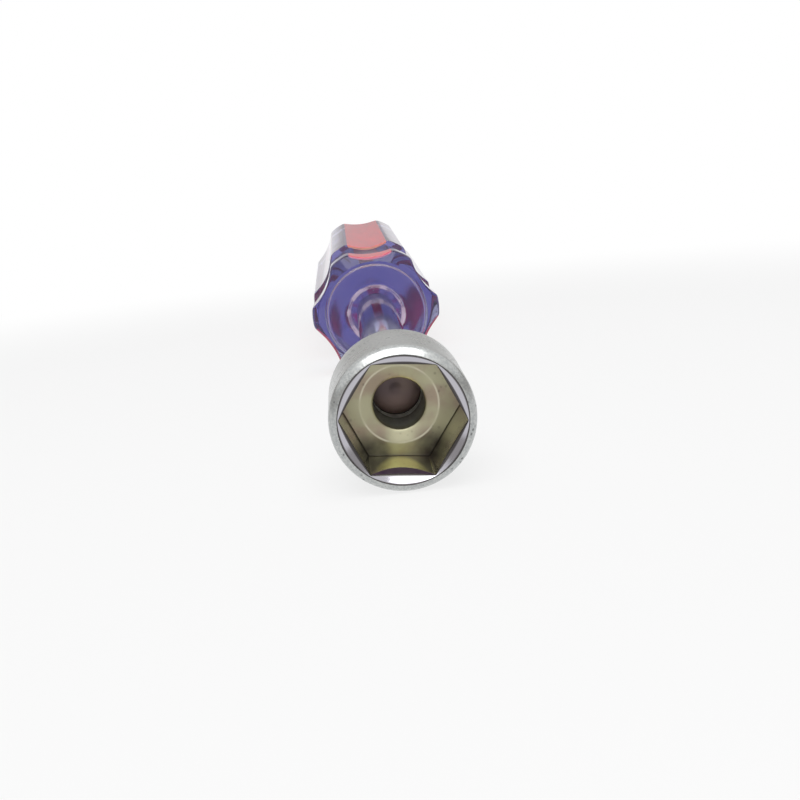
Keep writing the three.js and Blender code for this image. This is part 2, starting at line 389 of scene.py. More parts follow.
# Painted reflections on the hex walls: a bright yellow arch, and a dark arch at the mouth
PAINTED_BRIGHT_REFLECTION = (0.98, 0.95, 0.42, 1)
BRIGHT_REFLECTION_REACH = 10.6
ARCH_HALF_WIDTH = 4.3
FAINT_PAINTED_REFLECTION = 0.1
PAINTED_DARK_REFLECTION = (0.05, 0.022, 0.06, 1)
DARK_REFLECTION_REACH = 4.3
# Painted shade: darker low in the socket, most of all in the floor's lower corners
PAINTED_LOW_SHADE = (0.045, 0.04, 0.035, 1)
LOW_SHADE_TOP = -2.8
LOW_SHADE_FULL = -5.8
WALL_LOW_SHADE = 0.6
FLOOR_LOW_SHADE = 0.92
# Painted shade: dark lines along the inner edges, dark floor corners and a darker bore
PAINTED_EDGE_SHADE = (0.04, 0.034, 0.03, 1)
EDGE_SHADE_SHARE = 0.9
PIT_COLOUR = (0.14, 0.14, 0.14, 1)
PIT_SHARE = 0.75
PITS_SPARED_BY_PLATING = 0.7
SOOT_SHARE = 0.9
SATIN_ROUGHNESS = 0.22
CLOUD_ROUGHNESS = 0.12
PLATING_POLISH = 0.19
DRILLED_ROUGHNESS = 0.34
DARK_REFLECTION_ROUGHNESS = 0.4
WEAR_ROUGHNESS = 0.25
MARK_HEIGHT = 0.35
GRIT_HEIGHT = 1.6


def socket_finish():
    """Satin chrome with small pits outside, olive plating inside, and painted shade, painted highlights
    and painted reflections inside.
    """
    finish, tree, shader = new_finish("socket_satin_chrome")
    point, place = object_place(tree)
    across = from_axis(tree, place)
    depth = maths(tree, "SUBTRACT", place["Y"], MOUTH_Y * MM)
    plating = painted(tree, "plating")
    edge_shade = painted(tree, "edge_shade")
    lead_in = product(
        tree,
        ramped(tree, across, (LEAD_IN_RADIUS + 0.02) * MM, (LEAD_IN_RADIUS - 0.02) * MM),
        ramped(tree, depth, 0.9 * MM, 0.7 * MM),
    )
    drilled = product(
        tree,
        ramped(tree, depth, (HEX_DEPTH - 0.12) * MM, (HEX_DEPTH - 0.02) * MM),
        ramped(tree, plating, 0.02, 0.15),
    )
    in_bore = product(
        tree,
        ramped(tree, depth, (HEX_DEPTH + 0.6) * MM, (HEX_DEPTH + 0.8) * MM),
        ramped(tree, across, (BORE_RADIUS + 0.2) * MM, (BORE_RADIUS + 0.1) * MM),
    )
    cloud = noise(tree, point, 260.0, 3.0)
    speck = fed(tree, "ShaderNodeTexVoronoi", outlet="Distance", Vector=point, Scale=1500.0)
    sparse = noise(tree, point, 420.0, 1.0)
    spared = maths(tree, "MAXIMUM", product(tree, plating, PITS_SPARED_BY_PLATING), lead_in)
    pit = product(
        tree,
        ramped(tree, speck, 0.36, 0.17),
        ramped(tree, sparse, 0.54, 0.64),
        rest_of(tree, spared),
    )
    # Painted reflections, strongest on the lowest wall and faint on the others: a dark arch at the mouth
    # and a bright yellow one behind it. Both reach deepest at the middle of their flat
    aside = maths(tree, "DIVIDE", painted(tree, "beside_flat"), ARCH_HALF_WIDTH)
    arch = rest_of(tree, product(tree, aside, aside))
    on_wall = product(tree, painted(tree, "painted_reflection"), plating, rest_of(tree, drilled))
    past_dark_reflection = maths(tree, "SUBTRACT", depth, product(tree, arch, DARK_REFLECTION_REACH * MM))
    past_bright_reflection = maths(tree, "SUBTRACT", depth, product(tree, arch, BRIGHT_REFLECTION_REACH * MM))
    dark_reflection = product(tree, ramped(tree, past_dark_reflection, 0.35 * MM, -0.35 * MM), on_wall)
    bright_reflection = product(
        tree, on_wall, ramped(tree, arch, 0.15, 0.85), ramped(tree, past_bright_reflection, 0.5 * MM, -2.6 * MM),
    )
    # Painted shade: darker along the lower side, most of all in the floor's lower corners
    low_shade = product(
        tree,
        ramped(tree, place["Z"], LOW_SHADE_TOP * MM, LOW_SHADE_FULL * MM),
        ramped(tree, cloud, 0.25, 0.6, 0.55, 1.0),
        ramped(tree, maths(tree, "ABSOLUTE", place["X"]), 0.8 * MM, 3.4 * MM, 0.35, 1.0),
        ramped(tree, drilled, 0.0, 1.0, WALL_LOW_SHADE, FLOOR_LOW_SHADE),
    )
    tint = ramped(tree, cloud, 0.40, 0.66)
    wall_colour = blended(tree, tint, OLIVE_PLATING, BROWN_PLATING)
    # Painted light: the floor's plating is painted lighter than the walls'
    lightened_floor_colour = blended(tree, tint, LIGHTENED_DRILLED_OLIVE, LIGHTENED_DRILLED_PINK)
    inside = layered(tree, wall_colour, (
        (drilled, lightened_floor_colour),
        (low_shade, PAINTED_LOW_SHADE),
        (bright_reflection, PAINTED_BRIGHT_REFLECTION),
        (dark_reflection, PAINTED_DARK_REFLECTION),
    ))
    mottle = noise(tree, point, 3200.0, 2.0, roughness=0.6)
    dull = blended(tree, ramped(tree, mottle, 0.36, 0.66), SATIN_CHROME, WORN_CHROME)
    # Painted highlights: the pale edge round the pilot's cone, and the pale band in the bore
    highlight_patches = maths(tree, "MAXIMUM", ramped(tree, cloud, 0.36, 0.60, 0.1, 1.0), in_bore)
    highlight_colour = blended(tree, in_bore, PAINTED_PILOT_HIGHLIGHT, PAINTED_BORE_HIGHLIGHT)
    colour = layered(tree, dull, (
        (lead_in, BRIGHT_CHROME),
        (plating, inside),
        (product(tree, painted(tree, "highlight_paint"), highlight_patches), highlight_colour),
        (product(tree, edge_shade, EDGE_SHADE_SHARE), PAINTED_EDGE_SHADE),
        (product(tree, pit, PIT_SHARE), PIT_COLOUR),
    ))
    tree.links.new(colour, shader.inputs["Base Color"])
    # The bore is sooty, and the painted dark reflection is made matt: they give back plain colour, with
    # little of the metal's gloss
    sooty = maths(tree, "MAXIMUM", in_bore, dark_reflection)
    tree.links.new(rest_of(tree, product(tree, sooty, SOOT_SHARE)), shader.inputs["Metallic"])
    smooth = maths(tree, "MAXIMUM", plating, lead_in)
    rough = total(
        tree, SATIN_ROUGHNESS,
        product(tree, cloud, CLOUD_ROUGHNESS),
        product(tree, smooth, -PLATING_POLISH),
        product(tree, drilled, DRILLED_ROUGHNESS),
        product(tree, dark_reflection, DARK_REFLECTION_ROUGHNESS),
        product(tree, maths(tree, "MAXIMUM", pit, edge_shade), WEAR_ROUGHNESS),
    )
    tree.links.new(rough, shader.inputs["Roughness"])
    marks = turning_marks(tree, across, place["Y"], point, pitch=0.05 * MM, wander=40.0)
    grit = noise(tree, point, 2600.0, 2.0)
    raised = total(
        tree,
        product(tree, marks, MARK_HEIGHT),
        product(tree, grit, GRIT_HEIGHT, rest_of(tree, smooth)),
    )
    bumped(tree, shader, maths(tree, "SUBTRACT", raised, pit), distance=0.02 * MM, strength=0.5)
    return finish


sections = socket_rings()
_, beside_flat, lowest_flat = broached_hexagon(SOCKET_COLUMNS)
socket = ring_mesh(
    "socket_body", [section[:2] for section in sections], SOCKET_COLUMNS, SOCKET_SMOOTHING, loop=True,
    paint={
        "plating": [section[2] for section in sections],
        "edge_shade": [section[3] for section in sections],
        "highlight_paint": [section[4] for section in sections],
        "beside_flat": [beside_flat] * len(sections),
        "painted_reflection": [np.where(lowest_flat, 1.0, FAINT_PAINTED_REFLECTION)] * len(sections),
    },
)
socket.data.materials.append(socket_finish())
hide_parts("socket")
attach(socket, "root")


# Shaft: a plain steel rod, polished and chromed, pressed into the socket's hub in front and into the
# handle behind. Its front end is centre-drilled and bare; the end inside the handle is bevelled.
SHAFT_RADIUS = 4.0
SHAFT_FRONT = -184.0
HANDLE_FRONT = -105.0
SHAFT_IN_HANDLE = 46.0
SHAFT_BACK = HANDLE_FRONT + SHAFT_IN_HANDLE
SHAFT_COLUMNS = 160
SHAFT_SMOOTHING = 25
CENTRE_MARK = 0.9
CENTRE_SINK = 0.16
# (radius, distance in from the end), outwards over the front end and inwards over the back one
FRONT_END = (
    (0.0, CENTRE_SINK), (CENTRE_MARK * 0.5, CENTRE_SINK * 0.6), (CENTRE_MARK, 0.01),
    (CENTRE_MARK + 0.08, 0.0), (2.2, 0.0), (3.45, 0.0),
    (3.52, 0.03), (3.95, 0.44), (3.99, 0.5), (SHAFT_RADIUS, 0.6),
)
BACK_END = (
    (SHAFT_RADIUS, 2.1), (SHAFT_RADIUS - 0.04, 1.97), (SHAFT_RADIUS - 1.25, 0.07),
    (SHAFT_RADIUS - 1.33, 0.0), (1.2, 0.0), (0.0, 0.0),
)


def shaft_rings():
    """Rings of (radius, distance along Y) from the front end to the back."""
    rings = [(radius, SHAFT_FRONT + inward) for radius, inward in FRONT_END]
    for share in np.linspace(0.02, 0.98, 25):
        rings.append((SHAFT_RADIUS, SHAFT_FRONT + (SHAFT_BACK - SHAFT_FRONT) * share))
    return rings + [(radius, SHAFT_BACK - inward) for radius, inward in BACK_END]


SHAFT_CHROME = (0.45, 0.47, 0.53, 1)
BARE_END = (0.25, 0.185, 0.19, 1)
TARNISH = (0.36, 0.265, 0.24, 1)
# Painted light: the front end is painted lighter towards its bottom, offsetting the shade deep in the
# bore
PAINTED_LIGHT_BELOW = (0.62, 0.44, 0.40, 1)
LIGHT_BELOW_TOP = 0.4
LIGHT_BELOW_FULL = -3.4
END_DULLING = 0.5
END_ROUGHNESS = 0.35
POLISH_ROUGHNESS = 0.05
POLISH_UNEVENNESS = 0.06


def shaft_finish():
    """Polished chrome along the rod, and bare steel on its front end, painted lighter towards its
    bottom.
    """
    finish, tree, shader = new_finish("shaft_polished_chrome")
    point, place = object_place(tree)
    cloud = noise(tree, point, 180.0, 2.0)
    end = ramped(tree, place["Y"], (SHAFT_FRONT + 0.5) * MM, (SHAFT_FRONT + 0.3) * MM)
    # Painted light: the end's lower part is painted lighter, offsetting the shade at the bottom of the
    # bore
    end_colour = layered(tree, BARE_END, (
        (ramped(tree, cloud, 0.45, 0.62), TARNISH),
        (ramped(tree, place["Z"], LIGHT_BELOW_TOP * MM, LIGHT_BELOW_FULL * MM), PAINTED_LIGHT_BELOW),
    ))
    tree.links.new(blended(tree, end, SHAFT_CHROME, end_colour), shader.inputs["Base Color"])
    tree.links.new(rest_of(tree, product(tree, end, END_DULLING)), shader.inputs["Metallic"])
    rough = total(
        tree, POLISH_ROUGHNESS,
        product(tree, cloud, POLISH_UNEVENNESS),
        product(tree, end, END_ROUGHNESS),
    )
    tree.links.new(rough, shader.inputs["Roughness"])
    marks = turning_marks(tree, from_axis(tree, place), place["Y"], point, pitch=0.04 * MM, wander=30.0)
    bumped(tree, shader, marks, distance=0.002 * MM, strength=0.1)
    return finish


shaft = ring_mesh("shaft_rod", shaft_rings(), SHAFT_COLUMNS, SHAFT_SMOOTHING)
shaft.data.materials.append(shaft_finish())
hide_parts("shaft")
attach(shaft, "root")


# Handle core: a bar of clear acetate drawn with six ribs and six hollow flutes, turned down at both ends
# and to the ringed neck, then vapour-polished. It closes tightly round the shaft, without an air gap.
BAR_RADIUS = 13.0
RIB_HALF_ANGLE = math.radians(9.3)
FLUTE_FLOOR = 11.3
FLUTE_PITCH = math.pi / 3
HANDLE_COLUMNS = 360
HANDLE_SMOOTHING = 24
RIB_SOFTNESS = 0.7
CUT_SOFTNESS = 0.35
CUTTER_CLEARANCE = 1.0
CUTTER_RUN = 0.9
CUTTER_STEPS = 4
ENTRY_RADIUS = 5.8
ENTRY_DEPTH = 1.2
HOLE_RADIUS = 4.3
UNDER_SHAFT = 3.8
DISC_RADIUS = 9.95
DISC_THICKNESS = 1.2
# (distance behind the face, radius) from the entry's lip over the disc's rounded edge to the shoulder
DISC_OUTLINE = (
    (0.03, 5.77), (0.0, 5.87), (0.0, 6.6), (0.0, 7.6), (0.0, 8.7), (0.0, 9.55),
    (0.03, 9.72), (0.12, 9.86), (0.28, DISC_RADIUS), (0.7, DISC_RADIUS), (1.1, DISC_RADIUS),
    (1.17, 9.97), (DISC_THICKNESS, 10.08), (DISC_THICKNESS, 10.3),
)
SHOULDER_RADIUS = 10.4
GUARD_FRONT = 3.0
GUARD_BACK = 8.0
NECK_FRONT = 12.2
NECK_BACK = 19.85
NECK_RADIUS = 10.0
NECK_FILLET = 1.6
NECK_CURVE = 13.9
NECK_RINGS = 5
RING_MARGIN = 0.45
RING_PITCH = 1.35
RING_HEIGHT = 0.4
RING_HALF_WIDTH = 0.45
RING_FLANK = ((-1, 0), (-0.9, 0.04), (-0.5, 0.47), (-0.12, 0.9))
RING_CREST = 0.97
GRIP_STATIONS = (33, 38, 44, 52, 60, 70, 80, 88, 95)
HANDLE_LENGTH = 105.0
BUTT_ROUND = 4.0
BUTT_RADIUS = 10.4

half_flute = FLUTE_PITCH / 2 - RIB_HALF_ANGLE
flute_sag = BAR_RADIUS * math.cos(half_flute) - FLUTE_FLOOR
flute_arc = ((BAR_RADIUS * math.sin(half_flute)) ** 2 + flute_sag ** 2) / (2 * flute_sag)


def cleared(start):
    """Stations where the turning tool leaves the ribs' crest and moves clear of the bar."""
    shares = [step / CUTTER_STEPS for step in range(CUTTER_STEPS + 1)]
    return [(start + CUTTER_RUN * share, BAR_RADIUS + CUTTER_CLEARANCE * share ** 2) for share in shares]


def turned_outline():
    """(distance behind the front face, radius) of all that the handle was turned to, front to back."""
    entry_slope = (ENTRY_RADIUS - HOLE_RADIUS) / ENTRY_DEPTH
    entry_end = (ENTRY_RADIUS - UNDER_SHAFT) / entry_slope
    outline = [(entry_end, 0.0), (entry_end, UNDER_SHAFT)]
    for radius in (4.2, 4.8, 5.4, 5.66):
        outline.append(((ENTRY_RADIUS - radius) / entry_slope, radius))
    outline += DISC_OUTLINE
    for share in np.linspace(0, 1, 17):
        along = DISC_THICKNESS + (GUARD_FRONT - DISC_THICKNESS) * (0.6 * share + 0.4 * share ** 3)
        outline.append((along, SHOULDER_RADIUS + (BAR_RADIUS - SHOULDER_RADIUS) * share))
    outline += cleared(GUARD_FRONT)[1:]
    slope = (BAR_RADIUS - NECK_RADIUS) / (NECK_FRONT - GUARD_BACK - NECK_FILLET / 2)
    fillet_start = NECK_FRONT - NECK_FILLET
    for along in np.linspace(GUARD_BACK - CUTTER_RUN, fillet_start, 16):
        outline.append((along, BAR_RADIUS + slope * (GUARD_BACK - along)))
    for share in np.linspace(0, 1, 9)[1:]:
        radius = NECK_RADIUS + slope * (NECK_FILLET / 2) * (1 - share) ** 2
        outline.append((fillet_start + NECK_FILLET * share, radius))
    far_flank = [(-offset, height) for offset, height in reversed(RING_FLANK)]
    ring_shape = [*RING_FLANK, (0, RING_CREST), *far_flank]
    for ring in range(NECK_RINGS):
        crest = NECK_FRONT + RING_MARGIN + RING_PITCH * (ring + 0.5)
        for offset, height in ring_shape:
            outline.append((crest + RING_HALF_WIDTH * offset, NECK_RADIUS + RING_HEIGHT * height))
    end_swing = math.acos(1 - (BAR_RADIUS + CUTTER_CLEARANCE - NECK_RADIUS) / NECK_CURVE)
    for swing in np.linspace(0, end_swing, 44):
        radius = NECK_RADIUS + NECK_CURVE * (1 - math.cos(swing))
        outline.append((NECK_BACK + NECK_CURVE * math.sin(swing), radius))
    outline += [(along, BAR_RADIUS + CUTTER_CLEARANCE) for along in GRIP_STATIONS]
    butt_start = HANDLE_LENGTH - BUTT_ROUND
    outline += [(2 * butt_start - along, radius) for along, radius in reversed(cleared(butt_start))]
    for swing in np.linspace(math.pi / 2, 0, 19)[1:]:
        radius = BUTT_RADIUS + (BAR_RADIUS - BUTT_RADIUS) * math.sin(swing)
        outline.append((HANDLE_LENGTH - BUTT_ROUND * (1 - math.cos(swing)), radius))
    outline += [(HANDLE_LENGTH, radius) for radius in (10.2, 8.0, 6.0, 4.0, 2.0, 0.0)]
    return outline


def outline_strip(name, outline):
    """The outline as a chain of points: Y is the place along the tool and Z the radius."""
    points = [(0.0, (HANDLE_FRONT + along) * MM, radius * MM) for along, radius in outline]
    return added(name, new_mesh(name, points, [(i, i + 1) for i in range(len(points) - 1)], []))


BAR_SECTION = {
    "Bar Radius": BAR_RADIUS * MM,
    "Flute Floor": FLUTE_FLOOR * MM,
    "Flute Arc": flute_arc * MM,
    "Rib Softness": RIB_SOFTNESS * MM,
    "Cut Softness": CUT_SOFTNESS * MM,
}
BAR_SIZES = {"Columns": HANDLE_COLUMNS, **BAR_SECTION}


def new_node_tree(name, sizes):
    """A Geometry Nodes tree with geometry in and out and an input for each size.

    Gives the tree and its inputs.
    """
    tree = bpy.data.node_groups.new(name, "GeometryNodeTree")
    tree.interface.new_socket(name="Geometry", in_out="INPUT", socket_type="NodeSocketGeometry")
    tree.interface.new_socket(name="Geometry", in_out="OUTPUT", socket_type="NodeSocketGeometry")
    for label, size in sizes.items():
        kind = "NodeSocketInt" if isinstance(size, int) else "NodeSocketFloat"
        tree.interface.new_socket(name=label, in_out="INPUT", socket_type=kind)
    return tree, tree.nodes.new("NodeGroupInput").outputs


def finished_radius(tree, sizes, angle, turned_radius):
    """Radius of the finished bar: the drawn section or the turned outline, whichever is smaller."""
    from_rib = maths(tree, "FLOORED_MODULO", angle, FLUTE_PITCH)
    from_flute = maths(tree, "SUBTRACT", from_rib, FLUTE_PITCH / 2)
    arc = sizes["Flute Arc"]
    centre = total(tree, sizes["Flute Floor"], arc)
    sideways = product(tree, centre, maths(tree, "SINE", from_flute))
    inner = maths(tree, "SUBTRACT", product(tree, arc, arc), product(tree, sideways, sideways))
    hollow = maths(
        tree, "SUBTRACT",
        product(tree, centre, maths(tree, "COSINE", from_flute)),
        maths(tree, "SQRT", maths(tree, "MAXIMUM", inner, 0.0)),
    )
    drawn = maths(tree, "SMOOTH_MIN", sizes["Bar Radius"], hollow, sizes["Rib Softness"])
    return maths(tree, "SMOOTH_MIN", drawn, turned_radius, sizes["Cut Softness"])


def wrapped_grid(tree, outline, columns):
    """A grid with one row for each outline point.

    Gives the grid and, at each of its points, the column and the outline's place along and radius.
    """
    rows = fed(tree, "GeometryNodeAttributeDomainSize", outlet="Point Count", Geometry=outline)
    grid = fed(
        tree, "GeometryNodeMeshGrid", outlet="Mesh",
        Vertices_X=total(tree, columns, 1.0), Vertices_Y=rows,
    )
    index = fed(tree, "GeometryNodeInputIndex")
    row = maths(tree, "FLOORED_MODULO", index, rows)
    column = maths(tree, "FLOOR", maths(tree, "DIVIDE", total(tree, index, 0.5), rows))
    station = fed(
        tree, "GeometryNodeSampleIndex", settings={"data_type": "FLOAT_VECTOR"},
        Geometry=outline, Value=fed(tree, "GeometryNodeInputPosition"), Index=row,
    )
    place = parted(tree, station)
    return grid, column, place["Y"], place["Z"]


def placed_round(tree, grid, radius, along, angle):
    """The grid bent round the axis, with its doubled points merged."""
    place = fed(
        tree, "ShaderNodeCombineXYZ",
        X=product(tree, radius, maths(tree, "COSINE", angle)),
        Y=along,
        Z=product(tree, radius, maths(tree, "SINE", angle)),
    )
    moved = fed(tree, "GeometryNodeSetPosition", Geometry=grid, Position=place)
    return fed(tree, "GeometryNodeMergeByDistance", Geometry=moved, Distance=MERGE_DISTANCE * MM)


def close_tree(tree, geometry, finish):
    """The tree's last steps: real faces and their material."""
    real = fed(tree, "GeometryNodeRealizeInstances", Geometry=geometry)
    coated = fed(tree, "GeometryNodeSetMaterial", Geometry=real, Material=finish)
    output = tree.nodes.new("NodeGroupOutput")
    tree.links.new(coated, output.inputs["Geometry"])


def made_by(tree, strip, name, sizes, smooth_limit):
    """Runs the tree on the strip and gives back its result as a plain piece."""
    modifier = strip.modifiers.new("shape", "NODES")
    modifier.node_group = tree
    for item in tree.interface.items_tree:
        if item.in_out == "INPUT" and item.name in sizes:
            modifier[item.identifier] = sizes[item.name]
    graph = bpy.context.evaluated_depsgraph_get()
    mesh = bpy.data.meshes.new_from_object(strip.evaluated_get(graph))
    strip.modifiers.remove(modifier)
    bpy.data.objects.remove(strip)
    mesh.name = name
    return tidy_piece(added(name, mesh), smooth_limit)


def ribbed_bar_tree(finish):
    """Wraps the turned outline round the axis and cuts it back to the ribbed section."""
    tree, sizes = new_node_tree("ribbed_bar", BAR_SIZES)
    grid, column, along, turned = wrapped_grid(tree, sizes["Geometry"], sizes["Columns"])
    angle = product(tree, maths(tree, "DIVIDE", column, sizes["Columns"]), 2 * math.pi)
    radius = finished_radius(tree, sizes, angle, turned)
    close_tree(tree, placed_round(tree, grid, radius, along, angle), finish)
    return tree


def mixed_shader(tree, share, first, second):
    """A shader between two, by a share from 0 to 1."""
    node = tree.nodes.new("ShaderNodeMixShader")
    for value, inlet in zip((share, first, second), node.inputs):
        plugged(tree, value, inlet)
    return node.outputs[0]


def into_output(tree, outlet, label="Surface"):
    """Gives this surface or volume to the tree's output node."""
    output = next(node for node in tree.nodes if node.bl_idname.startswith("ShaderNodeOutput"))
    tree.links.new(outlet, output.inputs[label])


ACETATE_IOR = 1.48
TONER_COLOUR = (0.47, 0.455, 0.735, 1)
TONER_DENSITY = 42.0
LAMP_TINT = (0.94, 0.92, 0.98, 1)
HAZE = (0.36, 0.29, 0.62, 1)
HAZE_SHARE = 0.07
FROST_SHARE = 0.20
# Painted highlights: a broken white on the entry's lip and the disc's edge
PAINTED_GLINT_WHITE = (0.80, 0.64, 0.78, 1)
LIP_GLINT_SHARE = 0.60
EDGE_GLINT_SHARE = 0.20
SMOOTHEST = 0.015
SCUFFED = 0.09
FACE_ROUGHNESS = 0.14
ENTRY_ROUGHNESS = 0.2
SCUFF_HEIGHT = 0.05


def clear_finish():
    """Clear acetate, toned lavender in its depth, frosted where it was drilled and turned, with painted
    highlights on the entry's lip and the disc's edge.
    """
    finish, tree, shader = new_finish("clear_acetate")
    point, place = object_place(tree)
    along = place["Y"]
    across = from_axis(tree, place)
    shader.inputs["Base Color"].default_value = (1, 1, 1, 1)
    shader.inputs["Transmission Weight"].default_value = 1.0
    shader.inputs["IOR"].default_value = ACETATE_IOR
    wave = noise(tree, point, 140.0, 2.0)
    scuff = noise(tree, point, 900.0, 4.0)
    drilled = product(
        tree,
        ramped(tree, across, (ENTRY_RADIUS + 0.05) * MM, (ENTRY_RADIUS - 0.1) * MM),
        ramped(tree, along, (HANDLE_FRONT + 2.5) * MM, (HANDLE_FRONT + 2.0) * MM),
    )
    turned_face = product(
        tree,
        ramped(tree, along, (HANDLE_FRONT + 0.2) * MM, (HANDLE_FRONT + 0.1) * MM),
        ramped(tree, across, (DISC_RADIUS - 0.15) * MM, (DISC_RADIUS - 0.4) * MM),
    )
    rough = total(
        tree, ramped(tree, scuff, 0.5, 0.75, SMOOTHEST, SCUFFED),
        product(tree, turned_face, FACE_ROUGHNESS),
        product(tree, drilled, ENTRY_ROUGHNESS),
    )
    tree.links.new(rough, shader.inputs["Roughness"])
    height = total(tree, wave, product(tree, scuff, SCUFF_HEIGHT))
    bumped(tree, shader, height, distance=0.05 * MM, strength=0.4)
    toner = tree.nodes.new("ShaderNodeVolumeAbsorption")
    toner.inputs["Color"].default_value = TONER_COLOUR
    toner.inputs["Density"].default_value = TONER_DENSITY
    into_output(tree, toner.outputs["Volume"], "Volume")
    # Painted highlights: the entry's lip and the disc's edge are painted a broken white, standing in for
    # their glints
    glint_breakup = noise(tree, point, 380.0, 2.0)
    lip_glint = product(
        tree,
        ramped(tree, across, (ENTRY_RADIUS + 0.3) * MM, ENTRY_RADIUS * MM),
        ramped(tree, across, (ENTRY_RADIUS - 0.9) * MM, (ENTRY_RADIUS - 0.5) * MM),
        ramped(tree, glint_breakup, 0.46, 0.60, 0.22, 1.0),
        LIP_GLINT_SHARE,
    )
    edge_glint = product(
        tree,
        ramped(tree, across, (DISC_RADIUS - 0.5) * MM, (DISC_RADIUS - 0.2) * MM),
        EDGE_GLINT_SHARE,
    )
    front_face = ramped(tree, along, (HANDLE_FRONT + 0.9) * MM, (HANDLE_FRONT + 0.5) * MM)
    painted_glints = product(tree, total(tree, lip_glint, edge_glint), front_face)
    haze_and_glints = blended(tree, ramped(tree, painted_glints, 0.0, 0.2), HAZE, PAINTED_GLINT_WHITE)
    frost_and_glints = total(tree, product(tree, drilled, FROST_SHARE), HAZE_SHARE, painted_glints)
    hazy_with_glints = mixed_shader(
        tree, frost_and_glints, shader.outputs[0], fed(tree, "ShaderNodeBsdfDiffuse", Color=haze_and_glints),
    )
    # Lamps light the strips inside through the polish, as they do through the real acetate
    open_to_lamps = fed(tree, "ShaderNodeBsdfTransparent", Color=LAMP_TINT)
    shadow_ray = fed(tree, "ShaderNodeLightPath", outlet="Is Shadow Ray")
    into_output(tree, mixed_shader(tree, shadow_ray, hazy_with_glints, open_to_lamps))
    return finish


outline = turned_outline()
handle_core = made_by(
    ribbed_bar_tree(clear_finish()), outline_strip("turned_outline", outline), "clear_handle",
    BAR_SIZES, HANDLE_SMOOTHING,
)
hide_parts("handle_core")
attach(handle_core, "root")


# Red segments: strips of red acetate fused into every other flute when the bar was drawn. They end
# where turning cut them away, so such a flute has one on the grip and one on the guard, just under
# the polish.
STRIP_THICKNESS = 0.45
STRIP_SKIN = 0.03
STRIP_INSET = 0.15
STRIP_HALF_ANGLE = half_flute - STRIP_INSET / BAR_RADIUS
STRIP_SMOOTHING = 40
STRIP_REACH = {"guard": (1.25, 11.2), "grip": (24.36, 104.98)}
STRIP_SIZES = {
    "Columns": 40,
    "Half Angle": STRIP_HALF_ANGLE,
    "Thickness": STRIP_THICKNESS * MM,
    "Skin": STRIP_SKIN * MM,
    "Count": 3,
    **BAR_SECTION,
}
UNTURNED = 1.0
RIBBON_WIDTH = 2.0


def cutting_ribbon(tree, outline):
    """The outline drawn out sideways into a ribbon that rays can hit, and the place of its middle."""
    front = fed(tree, "GeometryNodeBoundBox", outlet="Min", Geometry=outline)
    back = front.node.outputs["Max"]
    ends = total(tree, parted(tree, front)["Y"], parted(tree, back)["Y"])
    ribbon = fed(
        tree, "GeometryNodeExtrudeMesh", settings={"mode": "EDGES"},
        Mesh=outline, Offset=fed(tree, "ShaderNodeCombineXYZ", X=RIBBON_WIDTH * MM), Offset_Scale=1.0,
    )
    return maths(tree, "DIVIDE", ends, 2.0), ribbon


def cut_place(tree, ribbon, middle, level, way):
    """Where along the tool the ribbon comes down to this level, seen from its middle."""
    hit = fed(
        tree, "GeometryNodeRaycast", outlet="Hit Position",
        Target_Geometry=ribbon,
        Source_Position=fed(tree, "ShaderNodeCombineXYZ", X=RIBBON_WIDTH / 2 * MM, Y=middle, Z=level),
        Ray_Direction=(0, way, 0),
        Ray_Length=HANDLE_LENGTH * MM,
    )
    return parted(tree, hit)["Y"]


def either(tree, which, first, second):
    """The first where which is 0, and the second where it is 1."""
    return total(tree, product(tree, rest_of(tree, which), first), product(tree, which, second))


def strip_tree(finish):
    """One strip along its stations, thinned where the turning cut it; then one in every other flute."""
    tree, sizes = new_node_tree("inlaid_strips", STRIP_SIZES)
    # The columns run across the outer face and back across the inner face
    columns = sizes["Columns"]
    both_ways = product(tree, columns, 2.0)
    loop = total(tree, both_ways, 2.0)
    grid, column, along, turned = wrapped_grid(tree, sizes["Geometry"], loop)
    step = maths(tree, "FLOORED_MODULO", column, loop)
    within = maths(tree, "GREATER_THAN", step, total(tree, columns, 0.5))
    step_back = maths(tree, "SUBTRACT", total(tree, both_ways, 1.0), step)
    across = maths(tree, "DIVIDE", either(tree, within, step, step_back), columns)
    share = maths(tree, "SUBTRACT", product(tree, across, 2.0), 1.0)
    angle = total(tree, product(tree, share, sizes["Half Angle"]), math.pi / 2)
    drawn = finished_radius(tree, sizes, angle, UNTURNED)
    polished = finished_radius(tree, sizes, angle, turned)
    inner = maths(tree, "SUBTRACT", drawn, total(tree, sizes["Skin"], sizes["Thickness"]))
    outer = maths(tree, "MAXIMUM", maths(tree, "SUBTRACT", polished, sizes["Skin"]), inner)
    radius = either(tree, within, outer, inner)
    # Beyond the place where the turned outline cuts through the strip, its stations stay at that place
    level = total(tree, inner, sizes["Skin"])
    middle, ribbon = cutting_ribbon(tree, sizes["Geometry"])
    along = maths(tree, "MAXIMUM", along, cut_place(tree, ribbon, middle, level, -1.0))
    along = maths(tree, "MINIMUM", along, cut_place(tree, ribbon, middle, level, 1.0))
    thick = maths(tree, "DIVIDE", maths(tree, "SUBTRACT", outer, inner), sizes["Thickness"])
    for label, value in (("inner_face", within), ("thick", thick)):
        grid = fed(tree, "GeometryNodeStoreNamedAttribute", Geometry=grid, Name=label, Value=value)
    strip = placed_round(tree, grid, radius, along, angle)
    seats = fed(tree, "GeometryNodeMeshLine", Count=sizes["Count"], Offset=(0, 0, 0))
    swing = maths(tree, "DIVIDE", 2 * math.pi, sizes["Count"])
    turn = product(tree, fed(tree, "GeometryNodeInputIndex"), swing)
    laid = fed(
        tree, "GeometryNodeInstanceOnPoints",
        Points=seats, Instance=strip, Rotation=fed(tree, "ShaderNodeCombineXYZ", Y=turn),
    )
    close_tree(tree, laid, finish)
    return tree


